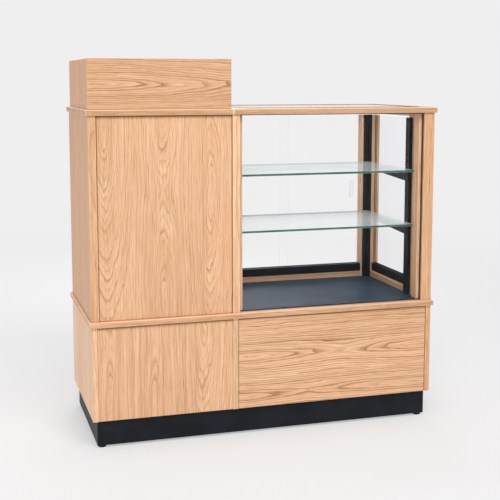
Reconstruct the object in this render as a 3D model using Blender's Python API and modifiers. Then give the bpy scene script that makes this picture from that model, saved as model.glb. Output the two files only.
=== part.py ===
"""Glass display counter: an oak tower and header beside a glazed case, on an oak base with a black plinth.

Metres, +Z up. The front faces -Y, the staff side +Y. The origin is on the floor, under the middle.
"""

import bmesh
import bpy
from mathutils import Matrix, Vector

# Gap left between faces that touch
CONTACT = 0.0003

# Carcass
CARCASS_WIDTH = 1.200
CARCASS_DEPTH = 0.500
BASE_HEIGHT = 0.312
CASE_HEIGHT = 0.660
BASE_BOARD = 0.018
TOWER_WIDTH = 0.497
TOWER_BOARD = 0.025
STORAGE_SHELF_RISE = 0.150
TOWER_SHELF_RISE = 0.320
SHELF_SETBACK = 0.030

# Fixed front panels, set between the front edges of the upright boards
PANEL_THICKNESS = 0.018
PANEL_EDGE = 0.0018
BASE_PANEL_RECESS = 0.002
TOWER_PANEL_RECESS = 0.004

# Rails that stand proud round the waist and round the top
RAIL_THICKNESS = 0.020
RAIL_OVERHANG = 0.008
RAIL_WIDTH = 0.060
RAIL_ROUND = 0.005
RAIL_ROUND_STEPS = 3
TOP_SEAM = 0.002

# Plinth and levelling feet
PLINTH_HEIGHT = 0.084
PLINTH_RECESS = 0.016
PLINTH_END = 0.032
PLINTH_FACE = 0.016
FOOT_PAD_HEIGHT = 0.008
FOOT_PAD_RADIUS = 0.013
FOOT_PAD_CHAMFER = 0.0015
FOOT_STEM_RADIUS = 0.004
FOOT_STEM_LENGTH = 0.040
FOOT_BORE_CLEARANCE = 0.0004
FOOT_BORE_SPARE = 0.010

# Header box on the tower
HEADER_END_SETBACK = 0.029
HEADER_SETBACK = 0.040
HEADER_HEIGHT = 0.160
HEADER_BOARD = 0.018

# Glazing
CASE_GLASS = 0.006
SHELF_GLASS = 0.008
TOP_GLASS = 0.008
FRONT_GLASS_SETBACK = 0.010
SIDE_GLASS_SETBACK = 0.012
TOP_GLASS_LAP = 0.010
TOP_GLASS_CLEARANCE = 0.0005
DECK_THICKNESS = 0.004

# Posts, sills and glazing channels
POST_BOARD = 0.038
FRONT_POST_DEPTH = 0.122
BACK_POST_WIDTH = 0.075
SILL_HEIGHT = 0.024
SILL_SETBACK = 0.004
CHANNEL_WIDTH = 0.022
CHANNEL_HEIGHT = 0.030
GROOVE_DEPTH = 0.012
GROOVE_CLEARANCE = 0.0005

# Rear sliding glass doors
TRACK_WIDTH = 0.034
TRACK_WEB = 0.006
TRACK_CLEARANCE = 0.001
LOWER_GROOVE_DEPTH = 0.006
UPPER_TRACK_HEIGHT = 0.014
UPPER_GROOVE_DEPTH = 0.011
UPPER_ENGAGEMENT = 0.004
DOOR_OVERLAP = 0.030

# Slotted standards, brackets and glass shelves
STANDARD_WIDTH = 0.030
STANDARD_DEPTH = 0.013
REAR_STANDARD_GAP = 0.004
SLOT_PITCH = 0.016
SLOT_HEIGHT = 0.009
SLOT_WIDTH = 0.005
SLOT_DEPTH = 0.004
SLOT_MARGIN = 0.022
BRACKET_THICKNESS = 0.004
BRACKET_ROOT = 0.035
BRACKET_TIP = 0.017
HOOK_DROP = 0.008
HOOK_CLEARANCE = 0.001
SHELF_OVERHANG = 0.042
LOWER_SHELF_SLOT = 14
UPPER_SHELF_SLOT = 26

# Light bars under the top rails
LIGHT_WIDTH = 0.012
LIGHT_HEIGHT = 0.019

# Tower door, its hinge and its flush pull
DOOR_THICKNESS = 0.018
DOOR_GAP = 0.003
LEAF_THICKNESS = 0.001
LEAF_DEPTH = 0.024
KNUCKLE_RADIUS = 0.003
KNUCKLE_COUNT = 5
KNUCKLE_GAP = 0.0006
HINGE_STANDOFF = 0.0032
HINGE_END_MARGIN = 0.020
PIN_RADIUS = 0.0014
PIN_CLEARANCE = 0.0003
PULL_WIDTH = 0.036
PULL_HEIGHT = 0.090
PULL_FLANGE = 0.0015
PULL_RIM = 0.005
PULL_WALL = 0.003
PULL_DEPTH = 0.010
PULL_INSET = 0.024

# Edge rounding and facets
BOARD_EDGE = 0.0008
GLASS_EDGE = 0.0006
METAL_EDGE = 0.0004
ROUND_STEPS = 24
PIN_STEPS = 16
CUT_MARGIN = 0.005

# Sides of a board: axis and sign
TO_LEFT = (0, -1)
TO_RIGHT = (0, 1)
TO_FRONT = (1, -1)
TO_BACK = (1, 1)

# Finishes: colour, roughness, metallic
OAK = ("oak", (0.66, 0.42, 0.23), 0.45, 0.0)
BLACK_LAMINATE = ("black_laminate", (0.022, 0.026, 0.030), 0.5, 0.0)
BLACK_METAL = ("black_metal", (0.012, 0.013, 0.015), 0.4, 0.6)
SLATE = ("slate_laminate", (0.060, 0.072, 0.085), 0.55, 0.0)
GLASS = ("glass", (0.80, 0.92, 0.89), 0.03, 0.0)
STEEL = ("steel", (0.62, 0.62, 0.60), 0.35, 1.0)
RUBBER = ("rubber", (0.015, 0.015, 0.016), 0.8, 0.0)
LIGHT = ("light_diffuser", (0.92, 0.92, 0.90), 0.4, 0.0)

# Levels, from the floor up
PLINTH_BOTTOM = FOOT_PAD_HEIGHT
BASE_BOTTOM = PLINTH_BOTTOM + PLINTH_HEIGHT
WAIST_BOTTOM = BASE_BOTTOM + BASE_HEIGHT
WAIST_TOP = WAIST_BOTTOM + RAIL_THICKNESS
TOP_BOTTOM = WAIST_TOP + CASE_HEIGHT
TOP_TOP = TOP_BOTTOM + RAIL_THICKNESS
HEADER_TOP = TOP_TOP + HEADER_HEIGHT
DECK_TOP = WAIST_TOP + CONTACT + DECK_THICKNESS

# Faces across the width and through the depth
LEFT = -CARCASS_WIDTH / 2
RIGHT = CARCASS_WIDTH / 2
FRONT = -CARCASS_DEPTH / 2
BACK = CARCASS_DEPTH / 2
TOWER_INNER = LEFT + TOWER_BOARD
CASE_LEFT = LEFT + TOWER_WIDTH
PARTITION_LEFT = CASE_LEFT - TOWER_BOARD
CASE_RIGHT = RIGHT - POST_BOARD
BACK_POST_LEFT = RIGHT - BACK_POST_WIDTH
BASE_INNER_LEFT = LEFT + BASE_BOARD
BASE_INNER_RIGHT = RIGHT - BASE_BOARD
BASE_PARTITION_RIGHT = PARTITION_LEFT + BASE_BOARD
RAIL_SEAM = PARTITION_LEFT + TOP_SEAM
TRACK_BACK = BACK - SILL_SETBACK
TRACK_FRONT = TRACK_BACK - TRACK_WIDTH
FRONT_GLASS_BACK = FRONT + FRONT_GLASS_SETBACK + CASE_GLASS
FRONT_POST_BACK = FRONT + FRONT_POST_DEPTH
BACK_POST_FRONT = BACK - POST_BOARD
STANDARD_FRONT = FRONT_POST_BACK - STANDARD_WIDTH
STANDARD_BACK = TRACK_FRONT - REAR_STANDARD_GAP
SHELF_BACK = BACK_POST_FRONT - STANDARD_DEPTH - CONTACT

# Heights in the glazed case
SILL_TOP = WAIST_TOP + CONTACT + SILL_HEIGHT
CHANNEL_BOTTOM = SILL_TOP + CONTACT
CHANNEL_TOP = CHANNEL_BOTTOM + CHANNEL_HEIGHT
LIGHT_TOP = TOP_BOTTOM - CONTACT
LIGHT_BOTTOM = LIGHT_TOP - LIGHT_HEIGHT
STANDARD_BOTTOM = DECK_TOP + CONTACT
STANDARD_TOP = LIGHT_BOTTOM - CONTACT


def clear_scene():
    for obj in list(bpy.data.objects):
        bpy.data.objects.remove(obj, do_unlink=True)


def new_collection(name):
    collection = bpy.data.collections.new(name)
    bpy.context.scene.collection.children.link(collection)
    return collection


def between(low, high):
    """The span of a piece that fits between two faces."""
    return (low + CONTACT, high - CONTACT)


def centred(middle, width):
    return (middle - width / 2, middle + width / 2)


def finish_material(obj, finish):
    kind, colour, roughness, metallic = finish
    material = bpy.data.materials.new(f"{obj.name}_{kind}")
    material.use_nodes = True
    shader = material.node_tree.nodes["Principled BSDF"]
    shader.inputs["Base Color"].default_value = (*colour, 1.0)
    shader.inputs["Roughness"].default_value = roughness
    shader.inputs["Metallic"].default_value = metallic
    obj.data.materials.append(material)


def box_mesh(name, size):
    mesh = bpy.data.meshes.new(name)
    shape = bmesh.new()
    bmesh.ops.create_cube(shape, size=1.0)
    bmesh.ops.scale(shape, vec=size, verts=shape.verts)
    shape.to_mesh(mesh)
    shape.free()
    return mesh


def cylinder_mesh(name, radius, length, steps):
    mesh = bpy.data.meshes.new(name)
    shape = bmesh.new()
    bmesh.ops.create_cone(
        shape, cap_ends=True, segments=steps, radius1=radius, radius2=radius, depth=length
    )
    shape.to_mesh(mesh)
    shape.free()
    return mesh


def add_object(name, mesh, middle, finish, parent=None):
    """Place a finished piece, under its pivot where it has one."""
    obj = bpy.data.objects.new(name, mesh)
    parts.objects.link(obj)
    obj.location = middle
    if parent is not None:
        obj.parent = parent
        obj.location = Vector(middle) - parent.location
    finish_material(obj, finish)
    return obj


def round_edges(obj, width):
    bevel = obj.modifiers.new("edges", "BEVEL")
    bevel.width = width
    bevel.segments = 1
    bevel.limit_method = "ANGLE"


def middle_and_size(x, y, z):
    low = Vector((x[0], y[0], z[0]))
    high = Vector((x[1], y[1], z[1]))
    return (low + high) / 2, high - low


def board(name, x, y, z, finish, edge=BOARD_EDGE, parent=None):
    """A flat piece given by its spans along X, Y and Z."""
    middle, size = middle_and_size(x, y, z)
    obj = add_object(name, box_mesh(name, size), middle, finish, parent)
    round_edges(obj, edge)
    return obj


def on_side(edge, side, size):
    """Whether an edge of a box lies in the face that looks along the given axis and sign."""
    axis, sign = side
    middle = (edge.verts[0].co + edge.verts[1].co) / 2
    return middle[axis] * sign > size[axis] / 2 - CONTACT


def rail(name, x, y, z, sides):
    """A board whose free sides have rounded edges. The sides that meet other boards stay square."""
    middle, size = middle_and_size(x, y, z)
    mesh = box_mesh(name, size)
    shape = bmesh.new()
    shape.from_mesh(mesh)
    free_edges = []
    for edge in shape.edges:
        free_sides = sum(on_side(edge, side, size) for side in sides)
        level = edge.verts[0].co.z * edge.verts[1].co.z > 0
        if free_sides == 2 or (free_sides == 1 and level):
            free_edges.append(edge)
    bmesh.ops.bevel(
        shape, geom=free_edges, offset=RAIL_ROUND, segments=RAIL_ROUND_STEPS, profile=0.5, affect="EDGES"
    )
    shape.to_mesh(mesh)
    shape.free()
    return add_object(name, mesh, middle, OAK)


def hide_tool(obj, parent=None):
    obj.hide_render = True
    obj.display_type = "WIRE"
    cutters.objects.link(obj)
    if parent is not None:
        obj.location = obj.location - parent.location
        obj.parent = parent
    return obj


def box_tool(name, x, y, z, parent=None):
    middle, size = middle_and_size(x, y, z)
    obj = bpy.data.objects.new(name, box_mesh(name, size))
    obj.location = middle
    return hide_tool(obj, parent)


def cylinder_tool(name, radius, x, y, z, steps, parent=None):
    """An upright round tool at a point, over a span of heights."""
    obj = bpy.data.objects.new(name, cylinder_mesh(name, radius, z[1] - z[0], steps))
    obj.location = (x, y, (z[0] + z[1]) / 2)
    return hide_tool(obj, parent)


def combine(obj, tool, operation):
    modifier = obj.modifiers.new(tool.name, "BOOLEAN")
    modifier.operation = operation
    modifier.object = tool
    modifier.solver = "EXACT"


def outline_mesh(name, points, thickness):
    """A flat outline in its own XY plane, thickened both ways along its own Z."""
    curve = bpy.data.curves.new(name, "CURVE")
    curve.dimensions = "2D"
    curve.fill_mode = "BOTH"
    curve.extrude = thickness / 2
    spline = curve.splines.new("POLY")
    spline.points.add(len(points) - 1)
    for point, (u, v) in zip(spline.points, points):
        point.co = (u, v, 0.0, 1.0)
    spline.use_cyclic_u = True
    guide = bpy.data.objects.new(name, curve)
    parts.objects.link(guide)
    bpy.context.view_layer.update()
    evaluated = guide.evaluated_get(bpy.context.evaluated_depsgraph_get())
    mesh = bpy.data.meshes.new_from_object(evaluated)
    bpy.data.objects.remove(guide, do_unlink=True)
    shape = bmesh.new()
    shape.from_mesh(mesh)
    bmesh.ops.remove_doubles(shape, verts=shape.verts, dist=CONTACT / 10)
    bmesh.ops.recalc_face_normals(shape, faces=shape.faces)
    shape.to_mesh(mesh)
    shape.free()
    mesh.name = name
    return mesh


def along_x(mesh):
    """Turn an outline so that its u runs along +Y, its v along +Z and its thickness along X."""
    mesh.transform(Matrix(((0, 0, 1, 0), (1, 0, 0, 0), (0, 1, 0, 0), (0, 0, 0, 1))))
    return mesh


def along_y(mesh):
    """Turn an outline so that its u runs along -X, its v along +Z and its thickness along Y."""
    mesh.transform(Matrix(((-1, 0, 0, 0), (0, 0, 1, 0), (0, 1, 0, 0), (0, 0, 0, 1))))
    return mesh


def grooved_outline(width, height, grooves, depth, opens_up):
    """The section of a rail whose grooves, given as spans across it, open upwards or downwards."""
    points = [(width / 2, 0.0), (-width / 2, 0.0), (-width / 2, height)]
    for low, high in grooves:
        points += [(low, height), (low, height - depth), (high, height - depth), (high, height)]
    points.append((width / 2, height))
    if opens_up:
        return points
    return [(u, height - v) for u, v in points]


def build_plinth():
    z = (PLINTH_BOTTOM, BASE_BOTTOM)
    front = FRONT + PLINTH_RECESS
    back = BACK - PLINTH_RECESS
    left = LEFT + PLINTH_RECESS
    right = RIGHT - PLINTH_RECESS
    ends = {
        "left": board("plinth_left", (left, left + PLINTH_END), (front, back), z, BLACK_LAMINATE),
        "right": board("plinth_right", (right - PLINTH_END, right), (front, back), z, BLACK_LAMINATE),
    }
    length = between(left + PLINTH_END, right - PLINTH_END)
    board("plinth_front", length, (front, front + PLINTH_FACE), z, BLACK_LAMINATE)
    board("plinth_back", length, (back - PLINTH_FACE, back), z, BLACK_LAMINATE)
    places = {"left": left + PLINTH_END / 2, "right": right - PLINTH_END / 2}
    rows = {"front": front + PLINTH_END / 2, "back": back - PLINTH_END / 2}
    for side, x in places.items():
        for row, y in rows.items():
            build_foot(f"foot_{row}_{side}", x, y, ends[side])


def build_foot(name, x, y, carrier):
    """A round pad on a threaded stem that screws up into the plinth end."""
    pad_top = FOOT_PAD_HEIGHT - CONTACT
    stem_top = FOOT_PAD_HEIGHT + FOOT_STEM_LENGTH
    profile = [
        (0.0, stem_top),
        (FOOT_STEM_RADIUS, stem_top),
        (FOOT_STEM_RADIUS, pad_top),
        (FOOT_PAD_RADIUS - FOOT_PAD_CHAMFER, pad_top),
        (FOOT_PAD_RADIUS, pad_top - FOOT_PAD_CHAMFER),
        (FOOT_PAD_RADIUS, 0.0),
        (0.0, 0.0),
    ]
    mesh = bpy.data.meshes.new(name)
    edges = [(i, i + 1) for i in range(len(profile) - 1)]
    mesh.from_pydata([(r, 0.0, z) for r, z in profile], edges, [])
    foot = add_object(name, mesh, (x, y, 0.0), RUBBER)
    screw = foot.modifiers.new("turned", "SCREW")
    screw.steps = ROUND_STEPS
    screw.render_steps = ROUND_STEPS
    screw.use_merge_vertices = True
    screw.merge_threshold = CONTACT / 10
    bore_top = stem_top + FOOT_BORE_SPARE
    bore = cylinder_tool(
        f"{name}_bore",
        FOOT_STEM_RADIUS + FOOT_BORE_CLEARANCE,
        x,
        y,
        (PLINTH_BOTTOM - CUT_MARGIN, bore_top),
        ROUND_STEPS,
    )
    combine(carrier, bore, "DIFFERENCE")


def build_base():
    z = (BASE_BOTTOM + CONTACT, WAIST_BOTTOM)
    y = (FRONT, BACK)
    board("base_left_side", (LEFT, BASE_INNER_LEFT), y, z, OAK)
    board("base_right_side", (BASE_INNER_RIGHT, RIGHT), y, z, OAK)
    panel_front = FRONT + BASE_PANEL_RECESS
    panel_back = panel_front + PANEL_THICKNESS
    bottom_top = z[0] + BASE_BOARD
    inner = (panel_back + CONTACT, BACK)
    board("base_bottom", between(BASE_INNER_LEFT, BASE_INNER_RIGHT), inner, (z[0], bottom_top), OAK)
    partition = board("base_partition", (PARTITION_LEFT, BASE_PARTITION_RIGHT), y, z, OAK)
    notch = box_tool(
        "base_partition_foot",
        (PARTITION_LEFT - CUT_MARGIN, BASE_PARTITION_RIGHT + CUT_MARGIN),
        (panel_back, BACK + CUT_MARGIN),
        (BASE_BOTTOM - CUT_MARGIN, bottom_top + CONTACT),
    )
    combine(partition, notch, "DIFFERENCE")
    panel_y = (panel_front, panel_back)
    panel_z = (z[0], WAIST_BOTTOM - CONTACT)
    left_panel = between(BASE_INNER_LEFT, PARTITION_LEFT)
    right_panel = between(BASE_PARTITION_RIGHT, BASE_INNER_RIGHT)
    board("base_left_panel", left_panel, panel_y, panel_z, OAK, PANEL_EDGE)
    board("base_right_panel", right_panel, panel_y, panel_z, OAK, PANEL_EDGE)
    shelf_z = (bottom_top + STORAGE_SHELF_RISE, bottom_top + STORAGE_SHELF_RISE + BASE_BOARD)
    shelf_x = between(BASE_PARTITION_RIGHT, BASE_INNER_RIGHT)
    board("storage_shelf", shelf_x, (panel_back + CONTACT, BACK - SHELF_SETBACK), shelf_z, OAK)


def build_waist():
    x = (LEFT - RAIL_OVERHANG, RIGHT + RAIL_OVERHANG)
    y = (FRONT - RAIL_OVERHANG, BACK + RAIL_OVERHANG)
    rail("waist_board", x, y, (WAIST_BOTTOM + CONTACT, WAIST_TOP), (TO_LEFT, TO_RIGHT, TO_FRONT, TO_BACK))
    deck_y = between(FRONT_GLASS_BACK, TRACK_FRONT)
    deck_z = (WAIST_TOP + CONTACT, DECK_TOP)
    board("display_deck", between(CASE_LEFT, CASE_RIGHT), deck_y, deck_z, SLATE, GLASS_EDGE)


def build_tower():
    z = (WAIST_TOP + CONTACT, TOP_BOTTOM)
    y = (FRONT, BACK)
    board("tower_left_side", (LEFT, TOWER_INNER), y, z, OAK)
    board("tower_partition", (PARTITION_LEFT, CASE_LEFT), y, z, OAK)
    panel_front = FRONT + TOWER_PANEL_RECESS
    panel_back = panel_front + PANEL_THICKNESS
    panel_x = between(TOWER_INNER, PARTITION_LEFT)
    panel_z = (z[0], TOP_BOTTOM - CONTACT)
    board("tower_panel", panel_x, (panel_front, panel_back), panel_z, OAK, PANEL_EDGE)
    shelf_z = (WAIST_TOP + TOWER_SHELF_RISE, WAIST_TOP + TOWER_SHELF_RISE + BASE_BOARD)
    shelf_y = (panel_back + CONTACT, BACK - DOOR_THICKNESS - SHELF_SETBACK)
    board("tower_shelf", between(TOWER_INNER, PARTITION_LEFT), shelf_y, shelf_z, OAK)


def build_tower_door():
    """A door let in between the tower's boards, on a long-knuckle hinge at its left edge."""
    axis = Vector((TOWER_INNER + DOOR_GAP / 2, BACK + HINGE_STANDOFF, WAIST_TOP))
    pivot = bpy.data.objects.new("tower_door_pivot", None)
    pivot.location = axis
    parts.objects.link(pivot)
    x = (TOWER_INNER + DOOR_GAP, PARTITION_LEFT - DOOR_GAP)
    y = (BACK - DOOR_THICKNESS, BACK)
    z = (WAIST_TOP + DOOR_GAP, TOP_BOTTOM - DOOR_GAP)
    door = board("tower_door", x, y, z, OAK, parent=pivot)
    build_pull(door, x[1] - PULL_INSET - PULL_WIDTH / 2, (z[0] + z[1]) / 2, pivot)
    build_hinge(axis, x[0], (z[0] + HINGE_END_MARGIN, z[1] - HINGE_END_MARGIN), pivot)


def build_pull(door, x, z, pivot):
    """A flush cup pull: a thin flange on the door's face and a cup let into it."""
    cup_width = PULL_WIDTH - 2 * PULL_RIM
    cup_height = PULL_HEIGHT - 2 * PULL_RIM
    face = BACK + CONTACT
    flange_y = (face, face + PULL_FLANGE)
    cup_y = (BACK - PULL_DEPTH, face + PULL_FLANGE / 2)
    pocket = box_tool(
        "pull_pocket",
        centred(x, cup_width + 2 * CONTACT),
        (cup_y[0] - CONTACT, BACK + CUT_MARGIN),
        centred(z, cup_height + 2 * CONTACT),
        pivot,
    )
    combine(door, pocket, "DIFFERENCE")
    pull = board(
        "tower_door_pull", centred(x, PULL_WIDTH), flange_y, centred(z, PULL_HEIGHT), STEEL, METAL_EDGE, pivot
    )
    cup = box_tool("pull_cup", centred(x, cup_width), cup_y, centred(z, cup_height), pivot)
    combine(pull, cup, "UNION")
    hollow = box_tool(
        "pull_hollow",
        centred(x, cup_width - 2 * PULL_WALL),
        (cup_y[0] + PULL_FLANGE, flange_y[1] + CUT_MARGIN),
        centred(z, cup_height - 2 * PULL_WALL),
        pivot,
    )
    combine(pull, hollow, "DIFFERENCE")


def build_hinge(axis, door_edge, z, pivot):
    """Two leaves in the gap beside the door, with knuckles taken in turn round one fixed pin."""
    leaf_back = axis.y - KNUCKLE_RADIUS - KNUCKLE_GAP
    leaf_y = (leaf_back - LEAF_DEPTH, leaf_back)
    frame_x = (TOWER_INNER + CONTACT, TOWER_INNER + CONTACT + LEAF_THICKNESS)
    door_x = (door_edge - CONTACT - LEAF_THICKNESS, door_edge - CONTACT)
    frame_leaf = board("hinge_frame_leaf", frame_x, leaf_y, z, STEEL, METAL_EDGE / 2)
    door_leaf = board("hinge_door_leaf", door_x, leaf_y, z, STEEL, METAL_EDGE / 2, pivot)
    pitch = (z[1] - z[0]) / KNUCKLE_COUNT
    for index in range(KNUCKLE_COUNT):
        on_frame = index % 2 == 0
        leaf = frame_leaf if on_frame else door_leaf
        leaf_x = frame_x if on_frame else door_x
        parent = None if on_frame else pivot
        low = z[0] + index * pitch + KNUCKLE_GAP / 2
        knuckle_z = (low, low + pitch - KNUCKLE_GAP)
        neck = box_tool(f"neck_{index}", leaf_x, (leaf_back - KNUCKLE_GAP, axis.y), knuckle_z, parent)
        combine(leaf, neck, "UNION")
        knuckle = cylinder_tool(
            f"knuckle_{index}", KNUCKLE_RADIUS, axis.x, axis.y, knuckle_z, PIN_STEPS, parent
        )
        combine(leaf, knuckle, "UNION")
    pin_z = (z[0] + KNUCKLE_GAP, z[1] - KNUCKLE_GAP)
    pin = cylinder_tool("hinge_pin", PIN_RADIUS, axis.x, axis.y, pin_z, PIN_STEPS)
    combine(frame_leaf, pin, "UNION")
    bore = cylinder_tool(
        "hinge_bore", PIN_RADIUS + PIN_CLEARANCE, axis.x, axis.y, z, PIN_STEPS, pivot
    )
    combine(door_leaf, bore, "DIFFERENCE")


def build_top():
    """A solid top over the tower, and a frame of rails round a glass top over the case."""
    z = (TOP_BOTTOM + CONTACT, TOP_TOP)
    front = FRONT - RAIL_OVERHANG
    back = BACK + RAIL_OVERHANG
    right = RIGHT + RAIL_OVERHANG
    rail("tower_top", (LEFT - RAIL_OVERHANG, RAIL_SEAM), (front, back), z, (TO_LEFT, TO_FRONT, TO_BACK))
    start = RAIL_SEAM + CONTACT
    across = between(front + RAIL_WIDTH, back - RAIL_WIDTH)
    left_edge = start + RAIL_WIDTH
    right_edge = right - RAIL_WIDTH
    rails = [
        rail("top_rail_front", (start, right), (front, front + RAIL_WIDTH), z, (TO_RIGHT, TO_FRONT)),
        rail("top_rail_back", (start, right), (back - RAIL_WIDTH, back), z, (TO_RIGHT, TO_BACK)),
        board("top_rail_left", (start, left_edge), across, z, OAK),
        rail("top_rail_right", (right_edge, right), across, z, (TO_RIGHT,)),
    ]
    glass_x = (left_edge - TOP_GLASS_LAP, right_edge + TOP_GLASS_LAP)
    glass_y = (front + RAIL_WIDTH - TOP_GLASS_LAP, back - RAIL_WIDTH + TOP_GLASS_LAP)
    glass_z = (TOP_TOP - TOP_GLASS, TOP_TOP)
    board("top_glass", glass_x, glass_y, glass_z, GLASS, GLASS_EDGE)
    rebate = box_tool(
        "top_glass_rebate",
        (glass_x[0] - TOP_GLASS_CLEARANCE, glass_x[1] + TOP_GLASS_CLEARANCE),
        (glass_y[0] - TOP_GLASS_CLEARANCE, glass_y[1] + TOP_GLASS_CLEARANCE),
        (glass_z[0] - CONTACT, TOP_TOP + CUT_MARGIN),
    )
    for frame_rail in rails:
        combine(frame_rail, rebate, "DIFFERENCE")


def build_header():
    """A closed box on the tower's top, its front board full width."""
    z = (TOP_TOP + CONTACT, HEADER_TOP)
    right = CASE_LEFT - HEADER_END_SETBACK
    back = BACK - HEADER_SETBACK
    board("header_front", (LEFT, right), (FRONT, FRONT + HEADER_BOARD), z, OAK)
    sides_y = between(FRONT + HEADER_BOARD, back - HEADER_BOARD)
    board("header_left", (LEFT, LEFT + HEADER_BOARD), sides_y, z, OAK)
    board("header_right", (right - HEADER_BOARD, right), sides_y, z, OAK)
    board("header_back", (LEFT, right), (back - HEADER_BOARD, back), z, OAK)
    lid_x = between(LEFT + HEADER_BOARD, right - HEADER_BOARD)
    lid_y = between(FRONT + HEADER_BOARD, back - HEADER_BOARD)
    board("header_top", lid_x, lid_y, (HEADER_TOP - HEADER_BOARD, HEADER_TOP), OAK)


def build_case_frame():
    z = between(WAIST_TOP, TOP_BOTTOM)
    board("post_front_right", (CASE_RIGHT, RIGHT), (FRONT, FRONT_POST_BACK), z, OAK)
    board("post_back_right", (BACK_POST_LEFT, RIGHT), (BACK_POST_FRONT, BACK), z, OAK)
    sill_z = (WAIST_TOP + CONTACT, SILL_TOP)
    side_y = between(FRONT_POST_BACK, BACK_POST_FRONT)
    board("side_sill", (CASE_RIGHT, RIGHT - SILL_SETBACK), side_y, sill_z, OAK)
    board("rear_sill", between(CASE_LEFT, BACK_POST_LEFT), (TRACK_FRONT, TRACK_BACK), sill_z, OAK)


def build_case_glass():
    case_x = between(CASE_LEFT, CASE_RIGHT)
    glass_y = (FRONT_GLASS_BACK - CASE_GLASS, FRONT_GLASS_BACK)
    board("front_glass", case_x, glass_y, between(WAIST_TOP, TOP_BOTTOM), GLASS, GLASS_EDGE)
    middle = RIGHT - SIDE_GLASS_SETBACK - CASE_GLASS / 2
    side_y = between(FRONT_POST_BACK, BACK_POST_FRONT)
    groove = centred(0.0, CASE_GLASS + 2 * GROOVE_CLEARANCE)
    section = grooved_outline(CHANNEL_WIDTH, CHANNEL_HEIGHT, [groove], GROOVE_DEPTH, True)
    channel = along_y(outline_mesh("side_channel", section, side_y[1] - side_y[0]))
    add_object("side_channel", channel, (middle, sum(side_y) / 2, CHANNEL_BOTTOM), BLACK_METAL)
    glass_z = between(CHANNEL_TOP - GROOVE_DEPTH, TOP_BOTTOM)
    board("side_glass", centred(middle, CASE_GLASS), side_y, glass_z, GLASS, GLASS_EDGE)


def build_rear_doors():
    """Two glass doors that pass each other in a pair of grooved tracks."""
    opening = between(CASE_LEFT, BACK_POST_LEFT)
    middle = Vector((sum(opening) / 2, (TRACK_FRONT + TRACK_BACK) / 2, 0.0))
    length = opening[1] - opening[0]
    groove_width = CASE_GLASS + 2 * TRACK_CLEARANCE
    offset = (TRACK_WEB + groove_width) / 2
    grooves = [centred(-offset, groove_width), centred(offset, groove_width)]
    lower = grooved_outline(TRACK_WIDTH, CHANNEL_HEIGHT, grooves, LOWER_GROOVE_DEPTH, True)
    upper = grooved_outline(TRACK_WIDTH, UPPER_TRACK_HEIGHT, grooves, UPPER_GROOVE_DEPTH, False)
    upper_bottom = TOP_BOTTOM - CONTACT - UPPER_TRACK_HEIGHT
    lower_mesh = along_x(outline_mesh("lower_track", lower, length))
    upper_mesh = along_x(outline_mesh("upper_track", upper, length))
    add_object("lower_track", lower_mesh, middle + Vector((0.0, 0.0, CHANNEL_BOTTOM)), BLACK_METAL)
    add_object("upper_track", upper_mesh, middle + Vector((0.0, 0.0, upper_bottom)), BLACK_METAL)
    width = (length + DOOR_OVERLAP) / 2
    z = (CHANNEL_TOP - LOWER_GROOVE_DEPTH + CONTACT, upper_bottom + UPPER_ENGAGEMENT)
    left_y = centred(middle.y - offset, CASE_GLASS)
    right_y = centred(middle.y + offset, CASE_GLASS)
    board("glass_door_left", (opening[0], opening[0] + width), left_y, z, GLASS, GLASS_EDGE)
    board("glass_door_right", (opening[1] - width, opening[1]), right_y, z, GLASS, GLASS_EDGE)


def slot_heights():
    """Middles of the slots, which repeat up a standard as far as it reaches."""
    first = STANDARD_BOTTOM + SLOT_MARGIN
    count = int((STANDARD_TOP - SLOT_MARGIN - first) / SLOT_PITCH) + 1
    return [first + index * SLOT_PITCH for index in range(count)]


def build_standard(name, wall, inward, span, faces_y=False):
    """A slotted upright on a wall of the case; inward is the way its slots face, along X or along Y."""
    face = wall + inward * STANDARD_DEPTH
    body = tuple(sorted((wall + inward * CONTACT, face)))
    cut = tuple(sorted((face - inward * SLOT_DEPTH, face + inward * CUT_MARGIN)))
    slot = centred(sum(span) / 2, SLOT_WIDTH)
    x, y = (span, body) if faces_y else (body, span)
    slot_x, slot_y = (slot, cut) if faces_y else (cut, slot)
    standard = board(name, x, y, (STANDARD_BOTTOM, STANDARD_TOP), BLACK_METAL, METAL_EDGE)
    slots = bmesh.new()
    for height in slot_heights():
        middle, size = middle_and_size(slot_x, slot_y, centred(height, SLOT_HEIGHT))
        made = bmesh.ops.create_cube(slots, size=1.0)
        bmesh.ops.scale(slots, vec=size, verts=made["verts"])
        bmesh.ops.translate(slots, vec=middle, verts=made["verts"])
    mesh = bpy.data.meshes.new(f"{name}_slots")
    slots.to_mesh(mesh)
    slots.free()
    tool = hide_tool(bpy.data.objects.new(f"{name}_slots", mesh))
    combine(standard, tool, "DIFFERENCE")


def build_bracket(name, x, y, hook_height):
    """A tapered bracket between two standards, deep at the front one."""
    top = hook_height + HOOK_DROP
    outline = [
        (y[0], top),
        (y[0], top - BRACKET_ROOT),
        (y[0] + STANDARD_WIDTH, top - BRACKET_ROOT),
        (y[1], top - BRACKET_TIP),
        (y[1], top),
    ]
    mesh = along_x(outline_mesh(name, outline, BRACKET_THICKNESS))
    return add_object(name, mesh, (x, 0.0, 0.0), BLACK_METAL)


def build_side_hook(bracket, end, x, wall, inward, y, height):
    """A hook that enters a slot from the side of a bracket."""
    tip = wall + inward * (STANDARD_DEPTH - SLOT_DEPTH + HOOK_CLEARANCE)
    hook_x = tuple(sorted((tip, x)))
    hook_y = centred(y, SLOT_WIDTH - 2 * HOOK_CLEARANCE)
    hook_z = centred(height, SLOT_HEIGHT - 2 * HOOK_CLEARANCE)
    combine(bracket, box_tool(f"{bracket.name}_{end}_hook", hook_x, hook_y, hook_z), "UNION")


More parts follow.
